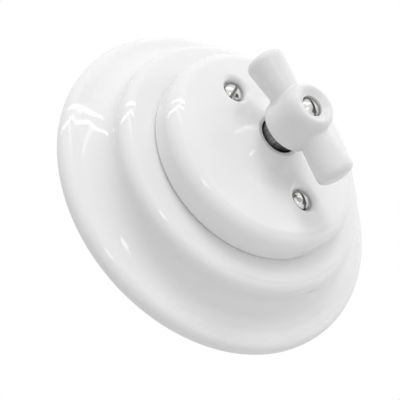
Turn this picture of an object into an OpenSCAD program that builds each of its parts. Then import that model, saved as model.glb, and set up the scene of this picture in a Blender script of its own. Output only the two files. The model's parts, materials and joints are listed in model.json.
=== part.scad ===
// Rotary wall switch: a stepped round porcelain frame, a porcelain cover and a butterfly knob,
// with the turning blade contact of the mechanism in a ceramic cup behind the wall plane.
// Sizes are in millimetres. Every piece is drawn along its local z axis, which is the switch axis
// pointing out of the wall from z = 0, and is then turned so that the switch faces -Y with +Z up.

/* [Frame ring] */
// Outer diameter of the frame on the wall
frame_d = 100; // [98:0.5:112]
// Height of the flat outer rim
rim_h = 4; // [3.5:0.25:6]
// Rounding of the rim's outer edge
rim_round = 3; // [1.5:0.25:3.25]
// Width of the flat band between the rounded edge and the cove
rim_land = 1.4; // [1:0.1:3]
// Radius of the hollow cove that climbs from the rim
cove_r = 6.9; // [6:0.1:7.5]
// Height of the upright wall above the cove
riser_h = 2; // [1:0.25:4]
// Rounding of the shoulder at the top of the step
shoulder_round = 3.1; // [2:0.1:4]
// Porcelain thickness of the frame
frame_wall = 4.6; // [4:0.1:5.5]
// Diameter of the opening in the middle
frame_bore_d = 50; // [48:0.5:54]

/* [Cover] */
// Diameter of the cover
cover_d = 59.8; // [58:0.2:64]
// Height of the cover's face above the frame's land
cover_h = 9.3; // [8:0.1:12]
// Rounding of the cover's front edge
cover_round = 3.85; // [2:0.05:4.5]
// Rounding of the cover's lower edge, which makes the dark seam
seam_round = 1; // [0.4:0.1:1.6]
// Diameter where the flat face starts to rise into the neck
flare_d = 30; // [27:0.5:34]
// Diameter at the top of the neck
neck_d = 12.6; // [12:0.1:15]
// Height of the neck above the face
neck_h = 4; // [3:0.1:5]
// Rounding of the neck's lip
neck_round = 0.7; // [0.3:0.1:1]
// Porcelain thickness of the cover's face
cover_wall = 4.3; // [4:0.1:5]
// Depth of the spigot that centres the cover in the frame
spigot_h = 4; // [3:0.25:6]
// Porcelain thickness of the spigot
spigot_wall = 3.9; // [3:0.1:4.5]
// Distance between the two cover screws
cover_screw_spacing = 34.6; // [33:0.2:38]
// Diameter of the recess round a screw head
recess_d = 6.3; // [6.1:0.1:7]
// Wide rounding of the recess's edge
recess_round = 1.8; // [1.2:0.1:2]
// Straight height of the recess's wall below that rounding
recess_wall = 0.3; // [0.2:0.1:0.6]
// Gap of the relief in the spigot round a cover post
post_relief = 1.2; // [0.8:0.1:1.4]

/* [Knob] */
// Length of the knob from tip to tip
knob_span = 38; // [33:0.2:40]
// Diameter of the hub above its foot
hub_d = 13.8; // [13.2:0.1:14.8]
// Diameter of the hub's foot
hub_foot_d = 15.6; // [15:0.1:16.4]
// Height of the hub
hub_h = 12.6; // [11.5:0.1:14]
// Height over which the hub narrows from its foot
hub_taper_h = 8; // [4:0.25:9]
// Rounding of the hub's top edge
hub_round = 4.75; // [2:0.25:6]
// Rounding of the hub's foot
foot_round = 1.2; // [0.6:0.1:2]
// Height of the arms' axis above the hub's foot
arm_rise = 5.1; // [4.6:0.1:6]
// Diameter of an arm where it leaves the hub
arm_root_d = 8.2; // [7.4:0.1:9]
// Diameter of an arm at its tip
arm_tip_d = 10.8; // [9.4:0.1:11.6]
// Height of the crown on the end of an arm, above its edge
tip_crown = 1.4; // [0.4:0.1:2.4]
// Rounding of that edge
tip_round = 1.6; // [0.8:0.1:3]
// Reach of the smooth blend between hub and arms
knob_blend = 0.9; // [0.6:0.1:3]
// Diameter of the dish round the knob screw
dish_d = 10; // [9.2:0.1:10.6]
// Depth of that dish
dish_depth = 3.1; // [2.4:0.1:3.4]
// Softness of the dish's rim
dish_soft = 1.6; // [1:0.1:2.4]
// Depth of the screw's seat below the bottom of the dish
knob_seat_sink = 0.4; // [0.2:0.1:0.8]
// Porcelain thickness under the knob screw's head
knob_web_t = 1.6; // [1.2:0.1:2]
// Gap between the neck of the cover and the hub's foot
collar_show = 4.1; // [3:0.1:5]

/* [Screws] */
// Thread diameter of the cover, knob and body screws
screw_d = 3; // [2.8:0.1:3.2]
// Diameter of their domed heads
screw_head_d = 5.5; // [5.2:0.1:6]
// Height of those heads
screw_head_h = 1.7; // [1.4:0.1:2]
// Height of the straight rim under the dome
screw_rim_h = 0.6; // [0.4:0.1:0.9]
// Width of the screwdriver slot
screw_slot_w = 0.8; // [0.6:0.1:1]
// Depth of the screwdriver slot
screw_slot_depth = 0.8; // [0.5:0.1:1]
// Length of thread that takes a cover screw or the knob screw
screw_bite = 7; // [5:0.5:8]
// Depth of a tapped hole beyond the screw's end
tap_spare = 1; // [0.5:0.25:2]
// Length of a body screw's end that stands out of its nut
screw_end = 1; // [0.5:0.25:2]
// Turn of the slot in the upper cover screw
upper_slot_turn = 30; // [0:5:180]
// Turn of the slot in the lower cover screw
lower_slot_turn = 70; // [0:5:180]
// Turn of the slot in the knob screw
knob_slot_turn = 75; // [0:5:180]
// Thread diameter of the terminal screws
terminal_screw_d = 2.6; // [2.4:0.1:2.8]
// Diameter of the terminal screws' heads
terminal_head_d = 4.4; // [4:0.1:4.8]
// Height of the terminal screws' heads
terminal_head_h = 2; // [1.6:0.1:2.4]

/* [Spindle and bushing] */
// Diameter of the spindle
spindle_d = 6; // [5.6:0.1:6.4]
// Distance across the spindle's two driving flats
flats_w = 4.4; // [4.3:0.1:4.6]
// Diameter of the pivot at the spindle's rear end
pivot_d = 4.2; // [3.8:0.1:4.2]
// Diameter of the dark ferrule under the knob
ferrule_d = 9.8; // [9:0.1:10.4]
// Grooves of the straight knurl round the ferrule
knurl_count = 60; // [36:1:72]
// Depth of those grooves
knurl_depth = 0.18; // [0.1:0.02:0.25]
// Length of ferrule held inside the hub
ferrule_seat_h = 3.5; // [2.5:0.1:4]
// Outer diameter of the guide bushing's barrel
bushing_d = 10; // [9.4:0.1:11]
// Length of the barrel in front of the wall plane
bushing_h = 13; // [11:0.5:14]
// Diameter of the bushing's flange
flange_d = 15; // [14:0.5:17]
// Thickness of that flange
flange_t = 1.5; // [1:0.1:2]
// Width across the flats of the bushing nut
bushing_nut_w = 14; // [13:0.5:16]
// Thickness of the bushing nut
bushing_nut_t = 3; // [2:0.25:4]
// Outer diameter of the toothed lock washer
lock_washer_d = 16; // [15:0.5:18]
// Thickness of the lock washer
lock_washer_t = 0.8; // [0.5:0.1:1]
// Teeth round the lock washer
lock_washer_teeth = 10; // [8:1:14]
// Outer diameter of the thrust washer and of the clip on it
thrust_washer_d = 10; // [9:0.5:12]
// Thickness of the thrust washer
thrust_washer_t = 0.5; // [0.4:0.1:0.8]
// Thickness of both retaining clips
clip_t = 0.7; // [0.5:0.1:0.9]
// Depth of the clip grooves in the spindle
groove_depth = 0.6; // [0.4:0.1:0.7]
// Hold of a clip's mouth on each side of its groove
clip_grip = 0.2; // [0.1:0.05:0.3]
// Outer diameter of the clip behind the rotor
rotor_clip_d = 8; // [7:0.5:9]

/* [Bridge plate] */
// Diameter of the bridge plate
bridge_d = 72; // [71:0.5:74]
// Thickness of the bridge plate
bridge_t = 1.6; // [1.2:0.1:2]
// Distance between the two box screws
box_screw_spacing = 60; // [59:0.5:61]
// Width of the slots for the box screws
box_slot_w = 4; // [3.6:0.1:4.4]
// Length of those slots from end to end
box_slot_l = 8; // [6:0.5:9]
// Gap between the bridge plate's edge and the frame's pocket
pocket_gap = 2.5; // [1.5:0.25:3]
// Depth of the frame's pocket over the bridge plate
pocket_h = 3; // [2.6:0.1:3.4]
// Diameter of the cover posts
post_d = 6; // [5.4:0.1:6.2]
// Diameter of the riveted spigot at a post's foot
post_rivet_d = 4; // [3.6:0.1:4.4]

/* [Base] */
// Width of the ceramic base across the two flats that clear the box's screw pillars
base_flat_w = 50; // [48:0.5:52]
// Depth of each flat below the base's round
flat_depth = 3; // [2.5:0.25:4]
// Thickness of the base's wall behind a flat
base_wall = 4; // [3:0.25:4.5]
// Depth of the base behind its lid
base_h = 22; // [21:0.5:26]
// Thickness of the base's floor
base_floor = 5; // [4.5:0.25:6]
// Depth of the spindle's pivot hole in the floor
pivot_depth = 3; // [2:0.25:3.5]
// Thickness of the lid between base and bridge plate
lid_t = 4; // [3.5:0.25:5]
// Turn of the body screws from the line of the box screws
body_screw_turn = 45; // [40:1:50]
// Width across the flats of the body nuts
body_nut_w = 5.5; // [5:0.1:6]
// Thickness of the body nuts
body_nut_t = 2.4; // [2:0.1:3]
// Depth of the counterbore that hides a body screw's head
body_head_depth = 2.2; // [2:0.1:3]
// Depth of the counterbore over a terminal screw's head
terminal_head_depth = 2.6; // [2:0.1:3]

/* [Contacts] */
// Thickness of the turning blade
blade_t = 1.2; // [1:0.1:1.4]
// Width of the blade
blade_w = 7; // [6.8:0.2:8]
// Room between the blade's sweep and the chamber's wall, for a jaw and its block
contact_room = 7.5; // [7:0.25:8]
// Distance of the blade's middle above the base's floor
blade_rise = 8; // [7:0.25:8.5]
// Diameter of the insulating rotor that carries the blade
rotor_d = 15; // [14:0.5:16]
// Height of the rotor
rotor_h = 8; // [7:0.25:8]
// Distance of the rotor's rear face above the base's floor
rotor_rise = 3; // [2.5:0.25:3.5]
// Thickness of the contact strip
jaw_t = 0.8; // [0.6:0.1:1]
// Width of a contact jaw
jaw_w = 8; // [6:0.5:9]
// Distance of a jaw's mouth from the axis
jaw_mouth_x = 9; // [8.8:0.1:10]
// Spread of the jaw's flared lips
jaw_flare = 0.8; // [0.4:0.1:1]
// Diameter of the rivets that hold the jaws
rivet_d = 1.8; // [1.5:0.1:2]
// Diameter of the rivet heads
rivet_head_d = 3.2; // [2.8:0.1:3.6]
// Height of the rivet heads
rivet_head_h = 0.8; // [0.5:0.1:0.8]
// Height of the rivets above the base's floor
rivet_rise = 2.5; // [2.2:0.1:3]
// Depth of the rivets in the terminal blocks
rivet_bite = 2; // [1.5:0.1:2.5]
// Width of a terminal block
block_w = 12; // [11:0.5:13]
// Height of a terminal block
block_h = 11; // [10:0.25:12]
// Distance of each terminal screw from the block's middle
terminal_screw_y = 3.2; // [3:0.1:3.4]
// Diameter of the wire hole in a terminal block
wire_hole_d = 3.4; // [3:0.1:3.6]
// Diameter of the wire entry through the base's wall
wire_entry_d = 4.4; // [4:0.1:4.8]
// Height of the wire hole above the base's floor
wire_rise = 5.5; // [5.2:0.1:6.5]
// Brass left behind the end of the wire hole
wire_stop = 0.9; // [0.6:0.1:1.2]

/* [Detent] */
// Width across the flats of the square detent cam
cam_w = 12; // [11:0.25:12.5]
// Diameter over the cam's rounded corners
cam_corner_d = 15.8; // [14:0.1:16]
// Thickness of the leaf springs
spring_t = 0.4; // [0.3:0.05:0.5]
// Width of the leaf springs
spring_w = 4.6; // [3.5:0.1:4.8]
// Depth of the spring slots in the base's wall
spring_slot_depth = 1.5; // [1:0.1:2]

/* [Fits] */
// Radial gap of the spindle in the bushing and in the base
running_gap = 0.04; // [0.02:0.01:0.08]
// Gap of a piece that slips over or into another
slip_gap = 0.05; // [0.02:0.01:0.1]
// Gap between turning and standing pieces
turning_gap = 0.3; // [0.2:0.05:0.5]
// Gap of a screw in a plain hole
screw_gap = 0.2; // [0.1:0.05:0.4]
// Gap of the cover's spigot in the frame
spigot_gap = 0.3; // [0.1:0.05:0.5]
// Gap between a cover post and the cover, taken up as the frame is clamped
clamp_gap = 0.5; // [0.3:0.1:0.8]
// End gap of the spindle between its clip and the bushing
end_gap = 0.15; // [0.1:0.05:0.3]
// Gap round the bushing's flange in the lid
flange_gap = 0.3; // [0.2:0.05:0.5]
// Gap of a leaf spring in its slots
spring_slot_gap = 0.2; // [0.1:0.05:0.3]
// Gap between the blade's sweep and a jaw's web
tip_gap = 0.7; // [0.5:0.1:1]
// Gap between a terminal block's corner and the chamber's wall
block_wall_gap = 0.4; // [0.2:0.05:0.6]
// Gap under a jaw's foot
foot_gap = 0.4; // [0.2:0.05:0.6]
// Gap between an open terminal screw's end and the wire hole
open_gap = 0.3; // [0.1:0.05:0.5]

/* [Hidden] */
$fn = 96;

// Finishes
porcelain = [0.95, 0.95, 0.94];
steatite = [0.86, 0.83, 0.76];
nickel = [0.82, 0.82, 0.80];
dark_steel = [0.25, 0.25, 0.26];
zinc_steel = [0.70, 0.72, 0.74];
brass = [0.80, 0.65, 0.32];
bronze = [0.72, 0.50, 0.30];
phenolic = [0.22, 0.13, 0.09];
spring_steel = [0.55, 0.57, 0.62];

// A cutter runs this far past the face it opens
over = 0.5;

// Frame ring
frame_r = frame_d / 2;
cove_foot_r = frame_r - rim_round - rim_land;
riser_r = cove_foot_r - cove_r;
frame_h = rim_h + cove_r + riser_h + shoulder_round;
frame_bore_r = frame_bore_d / 2;
hollow_r = riser_r - frame_wall;
hollow_h = frame_h - frame_wall;
pocket_r = bridge_d / 2 + pocket_gap;

// Cover, counted from the frame's land
cover_r = cover_d / 2;
face_z = frame_h + cover_h;
neck_z = face_z + neck_h;
ceiling_z = face_z - cover_wall;
spigot_r = frame_bore_r - spigot_gap;
spigot_z = frame_h - spigot_h;
cavity_r = spigot_r - spigot_wall;
neck_bore_r = ferrule_d / 2 + turning_gap;
flare_r = flare_d / 2;
neck_r = neck_d / 2;
// The flare is one arc, level where it leaves the face and through the neck's edge
flare_arc_r = (pow(flare_r - neck_r, 2) + pow(neck_h, 2)) / (2 * neck_h);
flare_arc_z = face_z + flare_arc_r;
// The neck's lip is a small arc, level at the top and tangent to the flare
lip_z = neck_z - neck_round;
lip_r = flare_r - sqrt(pow(flare_arc_r + neck_round, 2) - pow(flare_arc_z - lip_z, 2));
lip_tangent_z = lip_z + neck_round * (flare_arc_z - lip_z) / (flare_arc_r + neck_round);
recess_depth = recess_round + recess_wall;
recess_z = face_z - recess_depth;
cover_screw_y = cover_screw_spacing / 2;
post_top_z = ceiling_z - clamp_gap;

// Screws
screw_r = screw_d / 2;
screw_hole_r = screw_r + screw_gap;
cover_screw_l = recess_z - post_top_z + screw_bite;
tapped_depth = screw_bite + tap_spare;
terminal_r = terminal_screw_d / 2;

// Knob
hub_z = neck_z + collar_show;
hub_top_z = hub_z + hub_h;
arm_z = hub_z + arm_rise;
arm_start_y = hub_d / 2;
arm_end_y = knob_span / 2;
knob_seat_depth = dish_depth + knob_seat_sink;
knob_seat_z = hub_top_z - knob_seat_depth;
knob_web_z = knob_seat_z - knob_web_t;
ferrule_top_z = hub_z + ferrule_seat_h;
ferrule_low_z = ceiling_z + turning_gap;
dish_arc_r = (pow(dish_d / 2, 2) + pow(dish_depth, 2)) / (2 * dish_depth);

// Spindle and bushing
spindle_r = spindle_d / 2;
pivot_r = pivot_d / 2;
spindle_top_z = knob_web_z - turning_gap;
washer_z = bushing_h + end_gap;
clip_z = washer_z + thrust_washer_t;
nut_z = bridge_t + lock_washer_t;

// Base, counted back from the wall plane
lid_back_z = -lid_t;
base_back_z = lid_back_z - base_h;
floor_z = base_back_z + base_floor;
base_r = base_flat_w / 2 + flat_depth;
chamber_r = base_flat_w / 2 - base_wall;
pivot_end_z = floor_z - pivot_depth + end_gap;
// The body screws go through the middle of the base's wall
body_screw_r = (base_r + chamber_r) / 2;
body_head_z = base_back_z + body_head_depth;
body_screw_l = bridge_t + body_nut_t + screw_end - body_head_z;

// Rotor and detent
rotor_z = floor_z + rotor_rise;
rotor_top_z = rotor_z + rotor_h;
rotor_clip_z = rotor_z - slip_gap - clip_t;
cam_top_z = lid_back_z - 2 * turning_gap;
spring_x = cam_w / 2 + slip_gap;
spring_z = (rotor_top_z + cam_top_z - spring_w) / 2;
spring_end_y = sqrt(pow(chamber_r, 2) - pow(spring_x, 2)) + spring_slot_depth;

// Contacts
blade_z = floor_z + blade_rise;
blade_r = chamber_r - contact_room;
jaw_gap = blade_t + 2 * turning_gap;
jaw_web_x = blade_r + tip_gap;
block_x = jaw_web_x + jaw_t;
block_end_x = sqrt(pow(chamber_r, 2) - pow(block_w / 2, 2)) - block_wall_gap;
jaw_foot_z = floor_z + foot_gap;
rivet_z = floor_z + rivet_rise;
rivet_l = jaw_t + rivet_bite;
wire_z = floor_z + wire_rise;
terminal_x = (block_x + wire_stop + block_end_x) / 2;
terminal_head_z = base_back_z + terminal_head_depth;
terminal_tip_z = wire_z - wire_hole_d / 2 - open_gap;
terminal_screw_l = terminal_tip_z - terminal_head_z;

// Turns a piece from the switch axis to the wall, facing -Y
module on_wall(finish) {
    color(finish) rotate([90, 0, 0]) children();
}

// Two copies, the second half a turn about the switch axis from the first
module both_sides() {
    for (turn = [0, 180]) rotate(turn) children();
}

// Takes a square outer corner at [x, z] down to a quarter round
module round_off(x, z, q) {
    difference() {
        translate([x - q, z - q]) square(q + over);
        translate([x - q, z - q]) circle(q);
    }
}

// Fills the inner corner at [x, z] with a hollow quarter round that opens along side
module hollow_corner(x, z, q, side = 1) {
    difference() {
        translate([x, z + min(side, 0) * q]) square(q);
        translate([x + q, z + side * q]) circle(q);
    }
}

// Round bar with two driving flats, from z = low to z = high
module flatted_bar(r, w, low, high) {
    translate([0, 0, low]) linear_extrude(high - low) intersection() {
        circle(r);
        square([w, 2 * r + over], center = true);
    }
}

// Hole for the spindle's driven end
module drive_hole(low, high) {
    flatted_bar(spindle_r + slip_gap, flats_w + 2 * slip_gap, low, high);
}

module ring(outer_r, inner_r, t) {
    difference() {
        cylinder(r = outer_r, h = t);
        translate([0, 0, -over]) cylinder(r = inner_r, h = t + 2 * over);
    }
}

// Hexagon nut standing on z = 0
module hex_nut(w, t, hole_r) {
    difference() {
        cylinder(d = w / cos(30), h = t, $fn = 6);
        translate([0, 0, -over]) cylinder(r = hole_r, h = t + 2 * over);
    }
}

// Slotted screw with a domed head on z = 0 and its shank below
module domed_screw(head_d, head_h, rim, shank_r, l, slot_turn = 0) {
    dome_h = head_h - rim;
    dome_r = (pow(head_d / 2, 2) + pow(dome_h, 2)) / (2 * dome_h);
    difference() {
        intersection() {
            cylinder(d = head_d, h = head_h + over);
            translate([0, 0, head_h - dome_r]) sphere(dome_r);
        }
        rotate(slot_turn) translate([-head_d, -screw_slot_w / 2, head_h - screw_slot_depth])
            cube([2 * head_d, screw_slot_w, head_h]);
    }
    translate([0, 0, -l]) cylinder(r = shank_r, h = l);
}

// Spring clip, open towards +x, that snaps into a groove of the given radius
module open_clip(outer_d, groove_r) {
    mouth_w = 2 * (groove_r - clip_grip);
    difference() {
        ring(outer_d / 2, groove_r + slip_gap, clip_t);
        translate([0, -mouth_w / 2, -over]) cube([outer_d, mouth_w, clip_t + 2 * over]);
    }
}

module frame_ring() {
    on_wall(porcelain) rotate_extrude() difference() {
        union() {
            translate([frame_bore_r, 0]) square([frame_r - frame_bore_r, rim_h]);
            translate([frame_bore_r, 0]) square([riser_r - frame_bore_r, frame_h]);
            hollow_corner(riser_r, rim_h, cove_r);
        }
        round_off(frame_r, rim_h, rim_round);
        round_off(riser_r, frame_h, shoulder_round);
        translate([0, -over]) square([hollow_r, hollow_h + over]);
        translate([0, -over]) square([pocket_r, pocket_h + over]);
    }
}

// Half section of the cover, with its flared neck
module cover_section() {
    difference() {
        union() {
            translate([neck_bore_r, spigot_z]) square([spigot_r - neck_bore_r, spigot_h + over]);
            translate([neck_bore_r, frame_h]) square([cover_r - neck_bore_r, cover_h]);
            translate([neck_bore_r, ceiling_z]) square([lip_r - neck_bore_r, neck_z - ceiling_z]);
            translate([lip_r, lip_z]) circle(neck_round);
            difference() {
                translate([neck_bore_r, ceiling_z])
                    square([flare_r - neck_bore_r, lip_tangent_z - ceiling_z]);
                translate([flare_r, flare_arc_z]) circle(flare_arc_r);
            }
        }
        round_off(cover_r, face_z, cover_round);
        mirror([0, 1]) round_off(cover_r, -frame_h, seam_round);
        translate([0, spigot_z - over]) square([cavity_r, ceiling_z - spigot_z + over]);
    }
}

// Recess for a screw head, with a rounded edge, and the screw's hole below it
module screw_recess() {
    rotate_extrude() {
        translate([0, recess_z]) square([recess_d / 2, recess_depth + over]);
        hollow_corner(recess_d / 2, face_z, recess_round, -1);
        translate([recess_d / 2, face_z]) square([recess_round, over]);
    }
    translate([0, 0, ceiling_z - over]) cylinder(r = screw_hole_r, h = cover_wall);
}

module cover_plate() {
    on_wall(porcelain) difference() {
        rotate_extrude() cover_section();
        both_sides() translate([0, cover_screw_y, 0]) {
            screw_recess();
            translate([0, 0, spigot_z - over])
                cylinder(r = post_d / 2 + post_relief, h = ceiling_z - spigot_z + over);
        }
    }
}

module cover_screws() {
    on_wall(nickel) for (side = [1, -1])
        translate([0, side * cover_screw_y, recess_z])
            domed_screw(screw_head_d, screw_head_h, screw_rim_h, screw_r, cover_screw_l,
                side > 0 ? upper_slot_turn : lower_slot_turn);
}

// Smooth meeting of two distances: the smaller one, rounded over the reach k
function soft_min(a, b, k) = min(a, b) - pow(max(k - abs(a - b), 0), 2) / (4 * k);
function soft_max(a, b, k) = -soft_min(-a, -b, k);

// Distance outside the hub, a turned form that narrows from its foot
function hub_radius(z) =
    hub_foot_d / 2 + (hub_d - hub_foot_d) / 2 * sin(90 * min(max((z - hub_z) / hub_taper_h, 0), 1));
function hub_distance(p) =
    soft_max(soft_max(norm([p.x, p.y]) - hub_radius(p.z), p.z - hub_top_z, hub_round),
        hub_z - p.z, foot_round);

// Distance outside both arms, round bars that widen towards their crowned tips
function arm_radius(y) =
    (arm_root_d + (arm_tip_d - arm_root_d) * max(y - arm_start_y, 0) / (arm_end_y - arm_start_y)) / 2;
function tip_distance(p) =
    abs(p.y) - arm_end_y + tip_crown * pow(norm([p.x, p.z - arm_z]) / (arm_tip_d / 2), 2);
function arm_distance(p) =
    soft_max(norm([p.x, p.z - arm_z]) - arm_radius(abs(p.y)), tip_distance(p), tip_round);

// Distance outside the whole knob: hub and arms run into each other, less the dish on top
function dish_distance(p) = dish_arc_r - norm([p.x, p.y, p.z - hub_top_z - dish_arc_r + dish_depth]);
function knob_distance(p) =
    soft_max(soft_min(hub_distance(p), arm_distance(p), knob_blend), dish_distance(p), dish_soft);

// Distance from the knob's middle to its surface along a ray, by halving
function knob_reach(ray, low, high, steps) =
    steps == 0 ? (low + high) / 2 :
    let (mid = (low + high) / 2)
    knob_distance([0, 0, arm_z] + mid * ray) < 0 ?
        knob_reach(ray, mid, high, steps - 1) : knob_reach(ray, low, mid, steps - 1);

ray_halvings = 24;
knob_sides = 32;
tip_rings = 10;
hub_rings = 11;
// Angle from the arms' axis that an arm's root covers, seen from the knob's middle
root_angle = 30;
half_angles = [
    for (i = [1 : tip_rings + hub_rings])
        i <= tip_rings ? root_angle * i / tip_rings
            : root_angle + (90 - root_angle) * (i - tip_rings) / hub_rings
];
ring_angles = concat(half_angles, [for (i = [len(half_angles) - 2 : -1 : 0]) 180 - half_angles[i]]);

function knob_point(polar, turn) =
    let (ray = [sin(polar) * cos(turn), cos(polar), sin(polar) * sin(turn)])
    [0, 0, arm_z] + knob_reach(ray, 0, knob_span, ray_halvings) * ray;

// The porcelain skin of the knob: rings of rays round the arms' axis
module knob_skin() {
    rings = len(ring_angles);
    last = rings * knob_sides + 1;
    points = concat(
        [knob_point(0, 0)],
        [for (polar = ring_angles) for (k = [0 : knob_sides - 1]) knob_point(polar, 360 * k / knob_sides)],
        [knob_point(180, 0)]
    );
    faces = concat(
        [for (k = [0 : knob_sides - 1]) [0, 1 + k, 1 + (k + 1) % knob_sides]],
        [for (i = [0 : rings - 2]) for (k = [0 : knob_sides - 1])
            let (a = 1 + i * knob_sides, b = a + knob_sides, next = (k + 1) % knob_sides)
            each [[a + k, b + k, b + next], [a + k, b + next, a + next]]],
        [for (k = [0 : knob_sides - 1])
            [last, last - knob_sides + (k + 1) % knob_sides, last - knob_sides + k]]
    );
    polyhedron(points, faces);
}

module knob() {
    on_wall(porcelain) difference() {
        knob_skin();
        translate([0, 0, hub_z - over]) cylinder(d = ferrule_d + 2 * slip_gap, h = ferrule_seat_h + over);
        drive_hole(ferrule_top_z - over, knob_web_z);
        translate([0, 0, knob_web_z - over]) cylinder(r = screw_hole_r, h = knob_web_t + 2 * over);
        translate([0, 0, knob_seat_z])
            cylinder(d = screw_head_d + 2 * screw_gap, h = knob_seat_depth + over);
    }
}

module knob_screw() {
    on_wall(nickel) translate([0, 0, knob_seat_z])
        domed_screw(screw_head_d, screw_head_h, screw_rim_h, screw_r, knob_web_t + screw_bite,
            knob_slot_turn);
}

// Sleeve with a fine straight knurl, by which it grips the hub
module knob_ferrule() {
    on_wall(dark_steel) translate([0, 0, ferrule_low_z])
        linear_extrude(ferrule_top_z - ferrule_low_z) difference() {
            circle(d = ferrule_d);
            circle(spindle_r + slip_gap);
            for (i = [0 : knurl_count - 1])
                rotate(360 * i / knurl_count) translate([ferrule_d / 2, 0]) rotate(45)
                    square(sqrt(2) * knurl_depth, center = true);
        }
}

module groove(r, z) {
    translate([0, 0, z]) ring(r + over, r - groove_depth, clip_t);
}

module spindle() {
    on_wall(zinc_steel) difference() {
        union() {
            translate([0, 0, cam_top_z]) cylinder(r = spindle_r, h = ferrule_top_z - cam_top_z);
            flatted_bar(spindle_r, flats_w, ferrule_top_z, spindle_top_z);
            flatted_bar(spindle_r, flats_w, rotor_z, cam_top_z);
            translate([0, 0, pivot_end_z]) cylinder(r = pivot_r, h = rotor_z - pivot_end_z);
        }
        groove(spindle_r, clip_z);
        groove(pivot_r, rotor_clip_z);
        translate([0, 0, spindle_top_z - tapped_depth])
            cylinder(r = screw_r + slip_gap, h = tapped_depth + over);
    }
}

module thrust_washer() {
    on_wall(brass) translate([0, 0, washer_z])
        ring(thrust_washer_d / 2, spindle_r + slip_gap, thrust_washer_t);
}

module spindle_clip() {
    on_wall(spring_steel) translate([0, 0, clip_z])
        open_clip(thrust_washer_d, spindle_r - groove_depth);
}

module guide_bushing() {
    on_wall(brass) difference() {
        union() {
            translate([0, 0, -flange_t]) cylinder(d = flange_d, h = flange_t);
            cylinder(d = bushing_d, h = bushing_h);
        }
        translate([0, 0, -flange_t - over])
            cylinder(r = spindle_r + running_gap, h = flange_t + bushing_h + 2 * over);
    }
}

module lock_washer() {
    tooth_w = PI * lock_washer_d / lock_washer_teeth / 2;
    tooth_l = 1.6;
    on_wall(spring_steel) translate([0, 0, bridge_t]) difference() {
        ring(lock_washer_d / 2, bushing_d / 2 + slip_gap, lock_washer_t);
        for (i = [0 : lock_washer_teeth - 1])
            rotate(360 * i / lock_washer_teeth)
                translate([lock_washer_d / 2 - tooth_l, -tooth_w / 2, -over])
                    cube([2 * tooth_l, tooth_w, lock_washer_t + 2 * over]);
    }
}

module bushing_nut() {
    on_wall(brass) translate([0, 0, nut_z])
        hex_nut(bushing_nut_w, bushing_nut_t, bushing_d / 2 + slip_gap);
}

// Places a piece on each of the two body screws' axes
module at_body_screws() {
    both_sides() rotate(body_screw_turn) translate([body_screw_r, 0, 0]) children();
}

module box_slot() {
    reach = (box_slot_l - box_slot_w) / 2;
    translate([0, 0, -over]) linear_extrude(bridge_t + 2 * over) {
        square([2 * reach, box_slot_w], center = true);
        for (side = [-1, 1]) translate([side * reach, 0]) circle(d = box_slot_w);
    }
}

module bridge_plate() {
    on_wall(zinc_steel) difference() {
        cylinder(d = bridge_d, h = bridge_t);
        translate([0, 0, -over]) cylinder(r = bushing_d / 2 + slip_gap, h = bridge_t + 2 * over);
        both_sides() translate([box_screw_spacing / 2, 0, 0]) box_slot();
        both_sides() translate([0, cover_screw_y, -over])
            cylinder(r = post_rivet_d / 2 + slip_gap, h = bridge_t + 2 * over);
        at_body_screws() translate([0, 0, -over]) cylinder(r = screw_hole_r, h = bridge_t + 2 * over);
    }
}

module cover_posts() {
    on_wall(zinc_steel) both_sides() translate([0, cover_screw_y, 0]) difference() {
        union() {
            cylinder(d = post_rivet_d, h = bridge_t);
            translate([0, 0, bridge_t]) cylinder(d = post_d, h = post_top_z - bridge_t);
        }
        translate([0, 0, post_top_z - tapped_depth]) cylinder(r = screw_r + slip_gap, h = tapped_depth + over);
    }
}

// Round outline of base and lid, flattened where the wall box has its screw pillars
module base_outline() {
    intersection() {
        circle(base_r);
        square([base_flat_w, 2 * base_r + over], center = true);
    }
}

module base_lid() {
    on_wall(phenolic) difference() {
        translate([0, 0, lid_back_z]) linear_extrude(lid_t) base_outline();
        translate([0, 0, -flange_t - flange_gap])
            cylinder(r = flange_d / 2 + flange_gap, h = flange_t + flange_gap + over);
        translate([0, 0, lid_back_z - over]) cylinder(r = spindle_r + turning_gap, h = lid_t);
        at_body_screws() translate([0, 0, lid_back_z - over]) cylinder(r = screw_hole_r, h = lid_t + 2 * over);
    }
}

// Places a piece on the axes of the four terminal screws
module at_terminal_screws() {
    both_sides() for (side = [-1, 1]) translate([terminal_x, side * terminal_screw_y, 0]) children();
}

module switch_base() {
    on_wall(steatite) difference() {
        translate([0, 0, base_back_z]) linear_extrude(base_h) base_outline();
        translate([0, 0, floor_z]) cylinder(r = chamber_r, h = base_h);
        translate([0, 0, floor_z - pivot_depth]) cylinder(r = pivot_r + running_gap, h = base_h);
        both_sides() translate([spring_x - spring_slot_gap, -spring_end_y, spring_z - spring_slot_gap])
            cube([spring_t + 2 * spring_slot_gap, 2 * spring_end_y, base_h]);
        both_sides() translate([block_end_x, -terminal_screw_y, wire_z])
            rotate([0, 90, 0]) cylinder(d = wire_entry_d, h = base_r);
        at_terminal_screws() {
            translate([0, 0, base_back_z - over])
                cylinder(r = terminal_head_d / 2 + screw_gap, h = terminal_head_depth + over);
            translate([0, 0, base_back_z]) cylinder(r = terminal_r + screw_gap, h = base_floor + over);
        }
        at_body_screws() {
            translate([0, 0, base_back_z - over])
                cylinder(r = screw_head_d / 2 + screw_gap, h = body_head_depth + over);
            translate([0, 0, base_back_z]) cylinder(r = screw_hole_r, h = base_h + over);
        }
    }
}

module body_screws() {
    on_wall(zinc_steel) at_body_screws() translate([0, 0, body_head_z]) mirror([0, 0, 1])
        domed_screw(screw_head_d, screw_head_h, screw_rim_h, screw_r, body_screw_l);
}

module body_nuts() {
    on_wall(zinc_steel) at_body_screws() translate([0, 0, bridge_t])
        hex_nut(body_nut_w, body_nut_t, screw_r + slip_gap);
}

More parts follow.
